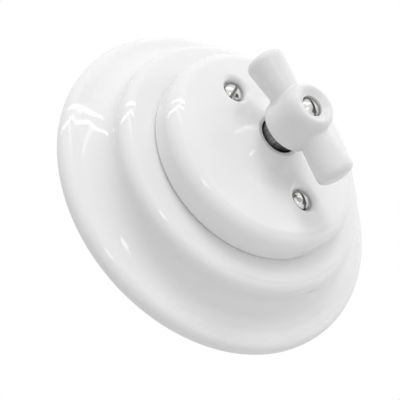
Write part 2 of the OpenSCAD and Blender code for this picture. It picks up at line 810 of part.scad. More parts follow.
// Square cam with rounded corners: four resting places in a turn
module detent_cam() {
    on_wall(phenolic) difference() {
        translate([0, 0, rotor_top_z]) linear_extrude(cam_top_z - rotor_top_z) intersection() {
            square(cam_w, center = true);
            circle(d = cam_corner_d);
        }
        drive_hole(rotor_top_z - over, cam_top_z + over);
    }
}

module detent_spring(turn) {
    end_y = spring_end_y - spring_slot_gap;
    on_wall(spring_steel) rotate(turn) translate([spring_x, -end_y, spring_z])
        cube([spring_t, 2 * end_y, spring_w]);
}

module detent_spring_left() {
    detent_spring(180);
}

module detent_spring_right() {
    detent_spring(0);
}

module rotor() {
    on_wall(phenolic) difference() {
        translate([0, 0, rotor_z]) cylinder(d = rotor_d, h = rotor_h);
        drive_hole(rotor_z - over, rotor_top_z + over);
        translate([-blade_w / 2, -rotor_d, blade_z - blade_t / 2]) cube([blade_w, 2 * rotor_d, blade_t]);
    }
}

// Bridging blade, moulded into the rotor, with tips that follow its sweep
module rotor_blade() {
    on_wall(brass) translate([0, 0, blade_z - blade_t / 2]) linear_extrude(blade_t) difference() {
        intersection() {
            circle(blade_r);
            square([blade_w, 2 * blade_r + over], center = true);
        }
        circle(spindle_r + slip_gap);
    }
}

module rotor_clip() {
    on_wall(spring_steel) translate([0, 0, rotor_clip_z]) open_clip(rotor_clip_d, pivot_r - groove_depth);
}

// Side view of a jaw: an upright web with two lips that flare away from the blade
module jaw_section() {
    half = jaw_gap / 2;
    lip_x = jaw_mouth_x + jaw_flare;
    polygon([
        [block_x, jaw_foot_z],
        [block_x, blade_z + half + jaw_t],
        [lip_x, blade_z + half + jaw_t],
        [jaw_mouth_x, blade_z + half + jaw_t + jaw_flare],
        [jaw_mouth_x, blade_z + half + jaw_flare],
        [lip_x, blade_z + half],
        [jaw_web_x, blade_z + half],
        [jaw_web_x, blade_z - half],
        [lip_x, blade_z - half],
        [jaw_mouth_x, blade_z - half - jaw_flare],
        [jaw_mouth_x, blade_z - half - jaw_t - jaw_flare],
        [lip_x, blade_z - half - jaw_t],
        [jaw_web_x, blade_z - half - jaw_t],
        [jaw_web_x, jaw_foot_z]
    ]);
}

module rivet_hole() {
    translate([jaw_web_x - over, 0, rivet_z]) rotate([0, 90, 0])
        cylinder(r = rivet_d / 2 + slip_gap, h = rivet_l + 2 * over);
}

module contact_jaw(turn) {
    on_wall(bronze) rotate(turn) difference() {
        translate([0, jaw_w / 2, 0]) rotate([90, 0, 0]) linear_extrude(jaw_w) jaw_section();
        rivet_hole();
    }
}

module contact_jaw_left() {
    contact_jaw(180);
}

module contact_jaw_right() {
    contact_jaw(0);
}

module jaw_rivets() {
    on_wall(brass) both_sides() translate([jaw_web_x, 0, rivet_z]) rotate([0, 90, 0]) {
        cylinder(d = rivet_d, h = rivet_l);
        translate([0, 0, -rivet_head_h]) cylinder(d = rivet_head_d, h = rivet_head_h);
    }
}

module terminal_block(turn) {
    on_wall(brass) rotate(turn) difference() {
        translate([block_x, -block_w / 2, floor_z]) cube([block_end_x - block_x, block_w, block_h]);
        translate([block_x + wire_stop, -terminal_screw_y, wire_z]) rotate([0, 90, 0])
            cylinder(d = wire_hole_d, h = block_end_x);
        for (side = [-1, 1]) translate([terminal_x, side * terminal_screw_y, floor_z - over])
            cylinder(r = terminal_r + slip_gap, h = terminal_tip_z - floor_z + 2 * over);
        rivet_hole();
    }
}

module terminal_block_left() {
    terminal_block(180);
}

module terminal_block_right() {
    terminal_block(0);
}

module terminal_screws() {
    on_wall(zinc_steel) at_terminal_screws() translate([0, 0, terminal_head_z]) mirror([0, 0, 1])
        domed_screw(terminal_head_d, terminal_head_h, screw_rim_h, terminal_r, terminal_screw_l);
}

frame_ring();
cover_plate();
cover_screws();
knob();
knob_screw();
knob_ferrule();
spindle();
thrust_washer();
spindle_clip();
guide_bushing();
lock_washer();
bushing_nut();
bridge_plate();
cover_posts();
base_lid();
switch_base();
body_screws();
body_nuts();
detent_cam();
detent_spring_left();
detent_spring_right();
rotor();
rotor_blade();
rotor_clip();
contact_jaw_left();
contact_jaw_right();
jaw_rivets();
terminal_block_left();
terminal_block_right();
terminal_screws();
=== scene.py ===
"""Round white porcelain wall switch with a butterfly turn knob, seen from its lower left."""

import json
import math

import bmesh
import bpy
import numpy as np
from mathutils import Matrix, Vector

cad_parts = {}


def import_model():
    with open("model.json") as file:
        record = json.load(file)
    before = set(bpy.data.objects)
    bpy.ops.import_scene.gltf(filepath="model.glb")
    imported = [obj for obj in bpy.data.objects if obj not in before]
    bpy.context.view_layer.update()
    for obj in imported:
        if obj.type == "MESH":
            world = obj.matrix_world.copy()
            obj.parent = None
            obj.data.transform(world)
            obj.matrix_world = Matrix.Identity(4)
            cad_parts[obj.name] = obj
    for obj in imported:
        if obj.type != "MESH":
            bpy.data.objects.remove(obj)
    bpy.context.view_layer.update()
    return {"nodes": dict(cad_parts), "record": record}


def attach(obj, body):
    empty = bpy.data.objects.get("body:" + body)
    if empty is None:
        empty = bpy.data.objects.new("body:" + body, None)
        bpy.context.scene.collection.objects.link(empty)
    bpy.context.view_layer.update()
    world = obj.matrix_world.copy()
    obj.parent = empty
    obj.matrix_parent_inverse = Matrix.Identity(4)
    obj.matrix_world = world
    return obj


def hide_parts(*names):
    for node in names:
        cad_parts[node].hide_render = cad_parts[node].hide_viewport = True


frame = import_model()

# Pieces are drawn in millimetres along the switch axis, z out of the wall, and then turned to the wall.
MM = 0.001
ON_WALL = Matrix(((MM, 0, 0, 0), (0, 0, -MM, 0), (0, MM, 0, 0), (0, 0, 0, 1)))
BODY = {node: body for body, nodes in frame["record"]["behaviour"]["bodies"].items() for node in nodes}
SLOT = {part["node"]: part["material_slot"] for part in frame["record"]["subparts"]}


# Sizes, the same as those of the solids

SLIP_GAP, TURNING_GAP, SCREW_GAP, SPIGOT_GAP, POCKET_GAP, CLAMP_GAP = 0.05, 0.3, 0.2, 0.3, 2.5, 0.5
SPINDLE_R, FERRULE_R, BRIDGE_R = 3.0, 4.9, 36.0

SCREW_R, HEAD_R, HEAD_H, HEAD_RIM, SLOT_W, SLOT_DEPTH = 1.5, 2.75, 1.7, 0.6, 0.8, 0.8
SCREW_BITE = 7.0
HOLE_R = SCREW_R + SCREW_GAP

FRAME_R, RIM_H, RIM_ROUND, RIM_LAND = 50.0, 4.0, 3.0, 1.4
COVE_R, RISER_H, SHOULDER_ROUND, FRAME_WALL = 6.9, 2.0, 3.1, 4.6
FRAME_BORE_R, POCKET_H = 25.0, 3.0
POCKET_R = BRIDGE_R + POCKET_GAP
RISER_R = FRAME_R - RIM_ROUND - RIM_LAND - COVE_R
FRAME_H = RIM_H + COVE_R + RISER_H + SHOULDER_ROUND

COVER_R, COVER_H, COVER_ROUND, SEAM_ROUND, COVER_WALL = 29.9, 9.3, 3.85, 1.0, 4.3
FLARE_R, NECK_R, NECK_H, NECK_ROUND = 15.0, 6.3, 4.0, 0.7
SPIGOT_H, SPIGOT_WALL = 4.0, 3.9
SCREW_Y, RECESS_R, RECESS_ROUND, RECESS_WALL = 17.3, 3.15, 1.8, 0.3
NECK_BORE_R = FERRULE_R + TURNING_GAP
SPIGOT_R = FRAME_BORE_R - SPIGOT_GAP
FACE_Z = FRAME_H + COVER_H
CEILING_Z = FACE_Z - COVER_WALL
RECESS_Z = FACE_Z - (RECESS_ROUND + RECESS_WALL)
COVER_SCREW_L = RECESS_Z - (CEILING_Z - CLAMP_GAP) + SCREW_BITE

KNOB_SPAN, HUB_R, HUB_FOOT_R, HUB_H, HUB_TAPER_H = 38.0, 6.9, 7.8, 12.6, 8.0
HUB_ROUND, FOOT_ROUND, ARM_RISE, ARM_ROOT_R, ARM_TIP_R = 4.75, 1.2, 5.1, 4.1, 5.4
TIP_CROWN, TIP_ROUND, KNOB_BLEND, DISH_R, DISH_DEPTH, DISH_SOFT = 1.4, 1.6, 0.9, 5.0, 3.1, 1.6
SEAT_SINK, WEB_T, FERRULE_SEAT_H, COLLAR_SHOW = 0.4, 1.6, 3.5, 4.1
SEAT_R = HEAD_R + SCREW_GAP
FERRULE_SEAT_R = FERRULE_R + SLIP_GAP
SPINDLE_HOLE_R = SPINDLE_R + SLIP_GAP
HUB_Z = FACE_Z + NECK_H + COLLAR_SHOW
HUB_TOP = HUB_Z + HUB_H
ARM_Z = HUB_Z + ARM_RISE
SEAT_Z = HUB_TOP - (DISH_DEPTH + SEAT_SINK)
KNOB_SCREW_L = WEB_T + SCREW_BITE

# How the slots of the screws are turned, in degrees
UPPER_SLOT, LOWER_SLOT, KNOB_SLOT = 30, 70, 75


# Small rounds, which only the scene has, and how finely forms are divided

EDGE, FILLET, LIP_EDGE = 0.4, 0.8, 0.25
RECESS_FOOT, HOLE_CHAMFER, DISH_EDGE, FERRULE_EDGE = 0.35, 0.15, 0.35, 0.25
HEAD_EDGE, HEAD_CHAMFER, SCREW_TIP, SCREW_EDGE = 0.12, 0.1, 0.4, 0.06
ROUND_STEPS, RECESS_STEPS, SEAT_STEPS, HEAD_STEPS, RAY_HALVINGS = 240, 72, 96, 96, 40

# Angles in degrees from which an edge is shaded as sharp, on porcelain and on screws, or is softened
SHARP, SCREW_SHARP, SOFTENED = 40, 30, 35


# Forming

def arc(centre, radius, start, end, steps):
    """Points of an arc in a half section [r, z], from start to end in degrees."""
    turns = np.radians(np.linspace(start, end, steps + 1))
    return [(centre[0] + radius * math.cos(a), centre[1] + radius * math.sin(a)) for a in turns]


def run(start, end, steps):
    """Points of a straight line in a half section, without its ends."""
    return [tuple(np.add(start, np.subtract(end, start) * i / steps)) for i in range(1, steps)]


def circle_points(centre, radius, z, count):
    """Points round an axis parallel to z."""
    x, y = centre
    turns = np.linspace(0, 2 * math.pi, count, endpoint=False)
    return [(x + radius * math.cos(a), y + radius * math.sin(a), z) for a in turns]


def add_ring(bm, points):
    return [bm.verts.new(p) for p in points]


def join_rings(bm, rings):
    """Faces from each ring to the next one."""
    for ring, following in zip(rings, rings[1:]):
        count = len(ring)
        for i in range(count):
            bm.faces.new((ring[i], ring[(i + 1) % count], following[(i + 1) % count], following[i]))


def close_ring(bm, ring, point):
    """Faces from a ring to one point."""
    tip = bm.verts.new(point)
    for i, corner in enumerate(ring):
        bm.faces.new((tip, corner, ring[(i + 1) % len(ring)]))


def turned(section, count):
    """A closed half section turned about the switch axis."""
    bm = bmesh.new()
    rings = [add_ring(bm, circle_points((0, 0), r, z, count)) for r, z in section]
    join_rings(bm, rings + rings[:1])
    return bm


def turned_solid(section, count):
    """A half section that starts and ends on the axis, turned about it."""
    bm = bmesh.new()
    rings = [add_ring(bm, circle_points((0, 0), r, z, count)) for r, z in section[1:-1]]
    join_rings(bm, rings)
    for end, ring in ((section[0], rings[0]), (section[-1], rings[-1])):
        close_ring(bm, ring, (0, 0, end[1]))
    return bm


def open_round(bm, centre, reach, low, high):
    """Takes out the faces close to an axis, between two heights, and returns the edges of the hole."""
    near = [
        v for v in bm.verts
        if low < v.co.z < high and math.hypot(v.co.x - centre[0], v.co.y - centre[1]) < reach
    ]
    faces = {f for v in near for f in v.link_faces}
    rim = [e for e in {e for f in faces for e in f.edges} if any(f not in faces for f in e.link_faces)]
    bmesh.ops.delete(bm, geom=list(faces), context="FACES")
    return rim


def stitch(bm, rim, ring):
    """Fills the gap between the edges of a hole and a ring inside it."""
    edges = [bm.edges.get((a, b)) or bm.edges.new((a, b)) for a, b in zip(ring, ring[1:] + ring[:1])]
    bmesh.ops.triangle_fill(bm, use_beauty=True, edges=rim + edges, normal=(0, 0, 1))


def mesh_of(bm, name):
    """Makes a form into a mesh."""
    mesh = bpy.data.meshes.new(name)
    bm.to_mesh(mesh)
    bm.free()
    return mesh


def add(name, data):
    """A new object in the scene."""
    obj = bpy.data.objects.new(name, data)
    bpy.context.scene.collection.objects.link(obj)
    return obj


def cut(bm, tool):
    """Cuts one form out of another."""
    body, cutter = (add("cutting", mesh_of(form, "cutting")) for form in (bm, tool))
    step = body.modifiers.new("cut", "BOOLEAN")
    step.operation, step.solver, step.object = "DIFFERENCE", "EXACT", cutter
    bpy.context.view_layer.update()
    result = bmesh.new()
    result.from_mesh(body.evaluated_get(bpy.context.evaluated_depsgraph_get()).data)
    for obj in (body, cutter):
        mesh = obj.data
        bpy.data.objects.remove(obj)
        bpy.data.meshes.remove(mesh)
    return result


def soften(obj, width):
    """Rounds a piece's edges a little, as far as its shading needs."""
    edge = obj.modifiers.new("soft_edges", "BEVEL")
    edge.width, edge.segments = width * MM, 2
    edge.limit_method, edge.angle_limit = "ANGLE", math.radians(SOFTENED)
    edge.harden_normals = True
    edge.use_clamp_overlap = True


def piece(node, bm, finish, sharp=SHARP):
    """Turns a form to the wall, where it stands for its CAD node."""
    bmesh.ops.recalc_face_normals(bm, faces=bm.faces)
    bm.transform(ON_WALL)
    mesh = mesh_of(bm, node + "_form")
    mesh.shade_smooth()
    mesh.set_sharp_from_angle(angle=math.radians(sharp))
    mesh.materials.append(finish)
    obj = add(node + "_form", mesh)
    even = obj.modifiers.new("even_shading", "WEIGHTED_NORMAL")
    even.keep_sharp = True
    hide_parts(node)
    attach(obj, BODY[node])
    return obj


# Finishes

# Numbers of the Mix node's sockets for colours
MIX_A, MIX_B, MIX_RESULT = 6, 7, 2


class Value:
    """A socket of a finish. Sums, products and the like of values add Math nodes."""

    def __init__(self, finish, socket):
        self.finish, self.socket = finish, socket

    def math(self, operation, *values, clamp=False):
        settings = {"operation": operation, "use_clamp": clamp}
        return self.finish.node("ShaderNodeMath", settings, dict(enumerate(values)))

    def __add__(self, other):
        return self.math("ADD", self, other)

    __radd__ = __add__

    def __sub__(self, other):
        return self.math("SUBTRACT", self, other)

    def __rsub__(self, other):
        return self.math("SUBTRACT", other, self)

    def __mul__(self, other):
        return self.math("MULTIPLY", self, other)

    __rmul__ = __mul__

    def __truediv__(self, other):
        return self.math("DIVIDE", self, other)

    def limited(self):
        """Kept between 0 and 1."""
        return self.math("ADD", self, 0.0, clamp=True)

    def above(self, low, high):
        """0 below low, 1 above high, even in between."""
        return ((self - low) / (high - low)).limited()


class Finish:
    """The nodes of one material or of the world."""

    def __init__(self, name, owner=None):
        self.owner = owner or bpy.data.materials.new(name)
        self.owner.use_nodes = True
        self.tree = self.owner.node_tree
        self.tree.nodes.clear()

    def node(self, kind, settings=None, sockets=None, output=0):
        """One node: its settings first, then the values or links of its sockets."""
        made = self.tree.nodes.new(kind)
        for key, value in (settings or {}).items():
            setattr(made, key, value)
        for key, value in (sockets or {}).items():
            if isinstance(value, Value):
                self.tree.links.new(value.socket, made.inputs[key])
            else:
                made.inputs[key].default_value = value
        return Value(self, made.outputs[output]) if made.outputs else None

    def mix(self, factor, a, b):
        """A colour between a and b."""
        sockets = {"Factor": factor}
        for key, colour in ((MIX_A, a), (MIX_B, b)):
            sockets[key] = colour if isinstance(colour, Value) else (*colour, 1.0)
        return self.node("ShaderNodeMix", {"data_type": "RGBA"}, sockets, output=MIX_RESULT)

    def place(self):
        """Where a point lies on its own piece, in metres."""
        return self.node("ShaderNodeTexCoord", output="Object")

    def from_middle(self, where):
        """How far a place is from the middle of its piece."""
        return self.node("ShaderNodeVectorMath", {"operation": "LENGTH"}, {0: where}, output="Value")

    def stretched(self, where, along):
        """The place, scaled by axis, so that a pattern is drawn out along one or pressed together."""
        return self.node("ShaderNodeVectorMath", {"operation": "MULTIPLY"}, {0: where, 1: along})

    def noise(self, where, scale, detail=2.0, roughness=0.5):
        sockets = {"Vector": where, "Scale": scale, "Detail": detail, "Roughness": roughness}
        return self.node("ShaderNodeTexNoise", None, sockets)

    def dots(self, where, scale, middle, edge):
        """1 in the middle of scattered dots and 0 outside their edge."""
        cells = self.node("ShaderNodeTexVoronoi", None, {"Vector": where, "Scale": scale})
        return 1 - cells.above(middle, edge)

    def kept(self, name):
        """A number that a mesh keeps for each of its points."""
        return self.node("ShaderNodeAttribute", {"attribute_name": name}, output="Fac")

    def bump(self, height, strength, depth):
        """Normals of a surface that is uneven by a depth in millimetres."""
        sockets = {"Height": height, "Strength": strength, "Distance": depth * MM}
        return self.node("ShaderNodeBump", None, sockets)

    def surface(self, **sockets):
        """Ends the material in its shader and returns the material."""
        names = {key: "IOR" if key == "ior" else key.replace("_", " ").title() for key in sockets}
        shader = self.node("ShaderNodeBsdfPrincipled", None, {names[key]: sockets[key] for key in sockets})
        self.node("ShaderNodeOutputMaterial", None, {"Surface": shader})
        return self.owner


def porcelain(name, white, dull):
    """White body under a clear glaze: faint clouds, a few pinholes and the glaze's slow waves."""
    finish = Finish(name)
    where = finish.place()
    clouds = finish.noise(where, scale=38.0, detail=3.0).above(0.3, 0.7)
    waves = finish.noise(where, scale=110.0, detail=1.0)
    haze = finish.noise(where, scale=120.0).above(0.35, 0.75)
    dots = finish.dots(where, scale=190.0, middle=0.02, edge=0.045)
    pinholes = dots * finish.noise(where, scale=90.0).above(0.56, 0.6)
    greyer, whiter, pit = (white - 0.03,) * 3, (white,) * 3, (0.45, 0.42, 0.38)
    return finish.surface(
        base_color=finish.mix(pinholes * 0.5, finish.mix(clouds, greyer, whiter), pit),
        roughness=dull + 0.02 * haze + 0.2 * pinholes,
        ior=1.5,
        normal=finish.bump(waves - 0.35 * pinholes, strength=0.004, depth=0.25),
    )


def nickel():
    """Bright nickel plate with turned rings under it, and painted shade in the slot and round the head's
    edge.
    """
    finish = Finish("nickel_plate")
    where = finish.place()
    radius, hollow = finish.kept("radius"), finish.kept("hollow")
    ring_rate, shaded_rim_w = 34.0, 0.3
    turning = radius * ring_rate
    rings = turning.math("SINE", turning)
    smears = finish.noise(where, scale=900.0, detail=4.0, roughness=0.6)
    # Painted shade: the slot and a thin rim round the head's edge are darkened and roughened. This stands in
    # for the slot's shadow and the rim's dark reflection.
    edge = radius.above(HEAD_R - shaded_rim_w, HEAD_R)
    painted_shade = ((hollow + 0.8 * edge) * (0.55 + 0.5 * finish.noise(where, scale=2500.0))).limited()
    bright, smeared, painted_shade_colour = (0.74, 0.74, 0.735), (0.62, 0.62, 0.61), (0.1, 0.09, 0.08)
    return finish.surface(
        base_color=finish.mix(painted_shade, finish.mix(smears.above(0.4, 0.7), bright, smeared), painted_shade_colour),
        metallic=1.0,
        roughness=0.13 + 0.1 * smears.above(0.4, 0.75) + 0.3 * painted_shade,
        normal=finish.bump(rings * 0.3 + smears, strength=0.12, depth=0.02),
    )


def metal(name, light, dark, roughness, grain, along):
    """Drawn, rolled or plated metal, with its grain along one axis and a little tarnish."""
    finish = Finish(name)
    where = finish.place()
    streaks = finish.noise(finish.stretched(where, along), scale=grain, detail=4.0, roughness=0.6)
    tarnish = finish.noise(where, scale=130.0, detail=4.0, roughness=0.6).above(0.42, 0.72)
    return finish.surface(
        base_color=finish.mix((tarnish * 0.7 + streaks * 0.3).limited(), light, dark),
        metallic=1.0,
        roughness=roughness + 0.16 * streaks + 0.14 * tarnish,
        normal=finish.bump(streaks, strength=0.15, depth=0.02),
    )


def blackened():
    """Blackened steel: worn lighter along the fine knurl, with broad lighter and darker patches that are a
    painted reflection of its surroundings.
    """
    finish = Finish("dark_steel")
    where = finish.place()
    lines = finish.noise(finish.stretched(where, (1, 0.04, 1)), scale=1500.0, detail=1.0)
    # Painted reflection: broad patches make the sleeve lighter in places and darker towards its ends. The
    # knurl's lighter lines are wear.
    painted_reflection = finish.noise(finish.stretched(where, (1, 0.2, 1)), scale=150.0, detail=2.0)
    wear_and_reflection = (lines.above(0.35, 0.65) * 0.35 + painted_reflection.above(0.4, 0.6) * 0.75).limited()
    blacking, bare = (0.05, 0.05, 0.048), (0.36, 0.36, 0.365)
    return finish.surface(
        base_color=finish.mix(wear_and_reflection, blacking, bare),
        metallic=1.0,
        roughness=0.3 + 0.2 * lines,
        normal=finish.bump(lines, strength=0.3, depth=0.03),
    )


def steatite():
    """Unglazed pressed ceramic: cream, matt and finely grained, with a few dark grains."""
    finish = Finish("steatite_body")
    where = finish.place()
    grain = finish.noise(where, scale=2600.0, detail=3.0)
    clouds = finish.noise(where, scale=60.0, detail=3.0).above(0.3, 0.7)
    dots = finish.dots(where, scale=420.0, middle=0.04, edge=0.1)
    specks = dots * finish.noise(where, scale=150.0).above(0.5, 0.56)
    dull_cream, cream, brown = (0.74, 0.7, 0.61), (0.8, 0.765, 0.69), (0.36, 0.28, 0.2)
    return finish.surface(
        base_color=finish.mix(specks * 0.7, finish.mix(clouds, dull_cream, cream), brown),
        roughness=0.62 + 0.18 * grain,
        normal=finish.bump(grain, strength=0.2, depth=0.05),
    )


def phenolic():
    """Brown moulded phenolic, mottled by its wood flour filler."""
    finish = Finish("phenolic_moulding")
    where = finish.place()
    mottle = finish.noise(where, scale=520.0, detail=5.0, roughness=0.65)
    flow = finish.noise(finish.stretched(where, (1, 3, 1)), scale=110.0, detail=3.0)
    flour = (mottle.above(0.38, 0.68) * 0.7 + flow * 0.3).limited()
    dark_brown, light_brown = (0.05, 0.026, 0.017), (0.12, 0.062, 0.036)
    return finish.surface(
        base_color=finish.mix(flour, dark_brown, light_brown),
        roughness=0.34 + 0.2 * mottle,
        normal=finish.bump(mottle, strength=0.1, depth=0.03),
    )


# Metals have a clean and a tarnished colour, a roughness, a scale of grain, and an axis that it runs along.
FINISHES = {
    "porcelain": porcelain("porcelain_glaze", white=0.86, dull=0.03),
    "nickel": nickel(),
    "dark_steel": blackened(),
    "zinc_steel": metal("zinc_plate", (0.6, 0.63, 0.66), (0.5, 0.51, 0.5), 0.26, 700.0, (0.12, 1, 1)),
    "spring_steel": metal("spring_steel", (0.38, 0.4, 0.45), (0.26, 0.25, 0.25), 0.22, 900.0, (1, 1, 0.06)),
    "brass": metal("turned_brass", (0.74, 0.54, 0.23), (0.5, 0.34, 0.14), 0.2, 900.0, (1, 0.1, 1)),
    "bronze": metal("bronze_strip", (0.66, 0.42, 0.23), (0.44, 0.25, 0.13), 0.24, 900.0, (1, 1, 0.08)),
    "steatite": steatite(),
    "phenolic": phenolic(),
}
KNOB_GLAZE = porcelain("knob_glaze", white=0.8, dull=0.25)


# Porcelain pieces

def frame_ring():
    """The stepped frame: rounded rim, land, cove, riser and shoulder, hollow behind."""
    land_r = FRAME_R - RIM_ROUND
    cove_foot_r = land_r - RIM_LAND
    shoulder_r = RISER_R - SHOULDER_ROUND
    hollow_r, hollow_h = RISER_R - FRAME_WALL, FRAME_H - FRAME_WALL
    section = [
        *arc((FRAME_R - EDGE, EDGE), EDGE, 270, 360, 6),
        *arc((land_r, RIM_H - RIM_ROUND), RIM_ROUND, 0, 90, 24),
        *run((land_r, RIM_H), (cove_foot_r, RIM_H), 4),
        *arc((cove_foot_r, RIM_H + COVE_R), COVE_R, 270, 180, 36),
        *run((RISER_R, RIM_H + COVE_R), (RISER_R, FRAME_H - SHOULDER_ROUND), 3),
        *arc((shoulder_r, FRAME_H - SHOULDER_ROUND), SHOULDER_ROUND, 0, 90, 24),
        *run((shoulder_r, FRAME_H), (FRAME_BORE_R + EDGE, FRAME_H), 8),
        *arc((FRAME_BORE_R + EDGE, FRAME_H - EDGE), EDGE, 90, 180, 6),
        *arc((FRAME_BORE_R + EDGE, hollow_h + EDGE), EDGE, 180, 270, 6),
        *arc((hollow_r - FILLET, hollow_h - FILLET), FILLET, 90, 0, 8),
        *arc((hollow_r + EDGE, POCKET_H + EDGE), EDGE, 180, 270, 5),
        *arc((POCKET_R - EDGE, POCKET_H - EDGE), EDGE, 90, 0, 5),
        *arc((POCKET_R + EDGE, EDGE), EDGE, 180, 270, 5),
    ]
    return turned(section, ROUND_STEPS)


def cover_section():
    """Half section of the cover, and the radius and height of the arc that flares its neck."""
    lip_z = FACE_Z + NECK_H - NECK_ROUND
    flare_arc_r = ((FLARE_R - NECK_R) ** 2 + NECK_H ** 2) / (2 * NECK_H)
    flare_z = FACE_Z + flare_arc_r
    lip_r = FLARE_R - math.sqrt((flare_arc_r + NECK_ROUND) ** 2 - (flare_z - lip_z) ** 2)
    meet = math.degrees(math.atan2(flare_z - lip_z, FLARE_R - lip_r))
    cavity_r, spigot_z = SPIGOT_R - SPIGOT_WALL, FRAME_H - SPIGOT_H
    section = [
        (SPIGOT_R, FRAME_H),
        *run((SPIGOT_R, FRAME_H), (COVER_R - SEAM_ROUND, FRAME_H), 4),
        *arc((COVER_R - SEAM_ROUND, FRAME_H + SEAM_ROUND), SEAM_ROUND, 270, 360, 8),
        *run((COVER_R, FRAME_H + SEAM_ROUND), (COVER_R, FACE_Z - COVER_ROUND), 6),
        *arc((COVER_R - COVER_ROUND, FACE_Z - COVER_ROUND), COVER_ROUND, 0, 90, 28),
        *run((COVER_R - COVER_ROUND, FACE_Z), (FLARE_R, FACE_Z), 14),
        *arc((FLARE_R, flare_z), flare_arc_r, 270, 180 + meet, 28),
        *arc((lip_r, lip_z), NECK_ROUND, meet, 90, 8)[1:],
        *arc((NECK_BORE_R + LIP_EDGE, FACE_Z + NECK_H - LIP_EDGE), LIP_EDGE, 90, 180, 5),
        (NECK_BORE_R, CEILING_Z),
        *run((NECK_BORE_R, CEILING_Z), (cavity_r - FILLET, CEILING_Z), 14),
        *arc((cavity_r - FILLET, CEILING_Z - FILLET), FILLET, 90, 0, 8),
        *arc((cavity_r + EDGE, spigot_z + EDGE), EDGE, 180, 270, 5),
        *arc((SPIGOT_R - EDGE, spigot_z + EDGE), EDGE, 270, 360, 5),
    ]
    return section, flare_arc_r, flare_z


def cover_plate():
    """The cover, with a rounded recess and a hole for each of its screws."""
    section, flare_arc_r, flare_z = cover_section()
    bm = turned(section, ROUND_STEPS)
    edge_r = RECESS_R + RECESS_ROUND
    face_gap, face_margin, ceiling_gap, ceiling_band = 0.5, 0.3, 0.4, 0.2
    face_low, face_high = FACE_Z - face_gap, FACE_Z + NECK_H / 2
    ceiling_low, ceiling_high = CEILING_Z - ceiling_band, CEILING_Z + ceiling_band
    recess = [
        (edge_r + face_margin, FACE_Z),
        *arc((edge_r, FACE_Z - RECESS_ROUND), RECESS_ROUND, 90, 180, 10),
        *arc((RECESS_R - RECESS_FOOT, RECESS_Z + RECESS_FOOT), RECESS_FOOT, 360, 270, 6),
        (HOLE_R + HOLE_CHAMFER, RECESS_Z),
        (HOLE_R, RECESS_Z - HOLE_CHAMFER),
        (HOLE_R, CEILING_Z),
    ]

    def face_rise(x, y):
        """How far the flare lifts the face."""
        inside = max(FLARE_R - math.hypot(x, y), 0)
        return flare_z - math.sqrt(flare_arc_r ** 2 - inside ** 2) - FACE_Z

    for side in (1, -1):
        centre = (0, side * SCREW_Y)
        face_rim = open_round(bm, centre, edge_r + face_gap, face_low, face_high)
        ceiling_rim = open_round(bm, centre, HOLE_R + ceiling_gap, ceiling_low, ceiling_high)
        rings = []
        for r, z in recess:
            share = min(max((r - RECESS_R) / (edge_r - RECESS_R), 0), 1)
            points = circle_points(centre, r, z, RECESS_STEPS)
            rings.append(add_ring(bm, [(x, y, h + share * face_rise(x, y)) for x, y, h in points]))
        stitch(bm, face_rim, rings[0])
        join_rings(bm, rings)
        stitch(bm, ceiling_rim, rings[-1])
    return bm


def soft_min(a, b, reach):
    """The lesser of two distances, run into each other where they are nearly the same."""
    return np.minimum(a, b) - np.maximum(reach - np.abs(a - b), 0) ** 2 / (4 * reach)


def soft_max(a, b, reach):
    return -soft_min(-a, -b, reach)


def knob_distance(p):
    """Distance outside the knob: hub and arms that run into each other, less the dish on top."""
    x, y, z = p[..., 0], p[..., 1], p[..., 2]
    taper = np.sin(math.pi / 2 * np.clip((z - HUB_Z) / HUB_TAPER_H, 0, 1))
    hub = soft_max(np.hypot(x, y) - HUB_FOOT_R - (HUB_R - HUB_FOOT_R) * taper, z - HUB_TOP, HUB_ROUND)
    hub = soft_max(hub, HUB_Z - z, FOOT_ROUND)
    along = np.maximum(np.abs(y) - HUB_R, 0) / (KNOB_SPAN / 2 - HUB_R)
    tip = np.abs(y) - KNOB_SPAN / 2 + TIP_CROWN * (x ** 2 + (z - ARM_Z) ** 2) / ARM_TIP_R ** 2
    arms = soft_max(np.hypot(x, z - ARM_Z) - ARM_ROOT_R - (ARM_TIP_R - ARM_ROOT_R) * along, tip, TIP_ROUND)
    dish_arc_r = (DISH_R ** 2 + DISH_DEPTH ** 2) / (2 * DISH_DEPTH)
    dish = dish_arc_r - np.sqrt(x ** 2 + y ** 2 + (z - HUB_TOP - dish_arc_r + DISH_DEPTH) ** 2)
    return soft_max(soft_min(hub, arms, KNOB_BLEND), dish, DISH_SOFT)


def knob_reach(start, ray):
    """Where rays that leave the knob from inside come out."""
    low, high = np.zeros(ray.shape[:-1]), np.full(ray.shape[:-1], KNOB_SPAN)
    for _ in range(RAY_HALVINGS):
        middle = (low + high) / 2
        inside = knob_distance(start + middle[..., None] * ray) < 0
        low, high = np.where(inside, middle, low), np.where(inside, high, middle)
    return start + high[..., None] * ray


def knob_skin():
    """The butterfly knob's skin, found by rays from its middle that are closest where the skin bends most."""
    bm = bmesh.new()
    tip, tip_edge, arm = np.linspace(1.5, 12, 8), np.linspace(12.5, 36, 48), np.linspace(37.2, 90, 45)
    half = np.concatenate([tip, tip_edge, arm])
    off_arms = np.radians(np.concatenate([half, 180 - half[-2::-1]]))
    dish_side = np.linspace(40, 140, 110, endpoint=False)
    other_side = np.linspace(140, 400, 80, endpoint=False)
    round_arms = np.radians(np.concatenate([dish_side, other_side]))
    p, t = np.meshgrid(off_arms, round_arms, indexing="ij")
    rays = np.stack([np.sin(p) * np.cos(t), np.cos(p), np.sin(p) * np.sin(t)], axis=-1)
    middle = np.array([0.0, 0.0, ARM_Z])
    rings = [add_ring(bm, ring) for ring in knob_reach(middle, rays)]
    join_rings(bm, rings)
    for side, ring in ((1.0, rings[0]), (-1.0, rings[-1])):
        close_ring(bm, ring, knob_reach(middle, np.array([0.0, side, 0.0])))
    return bm


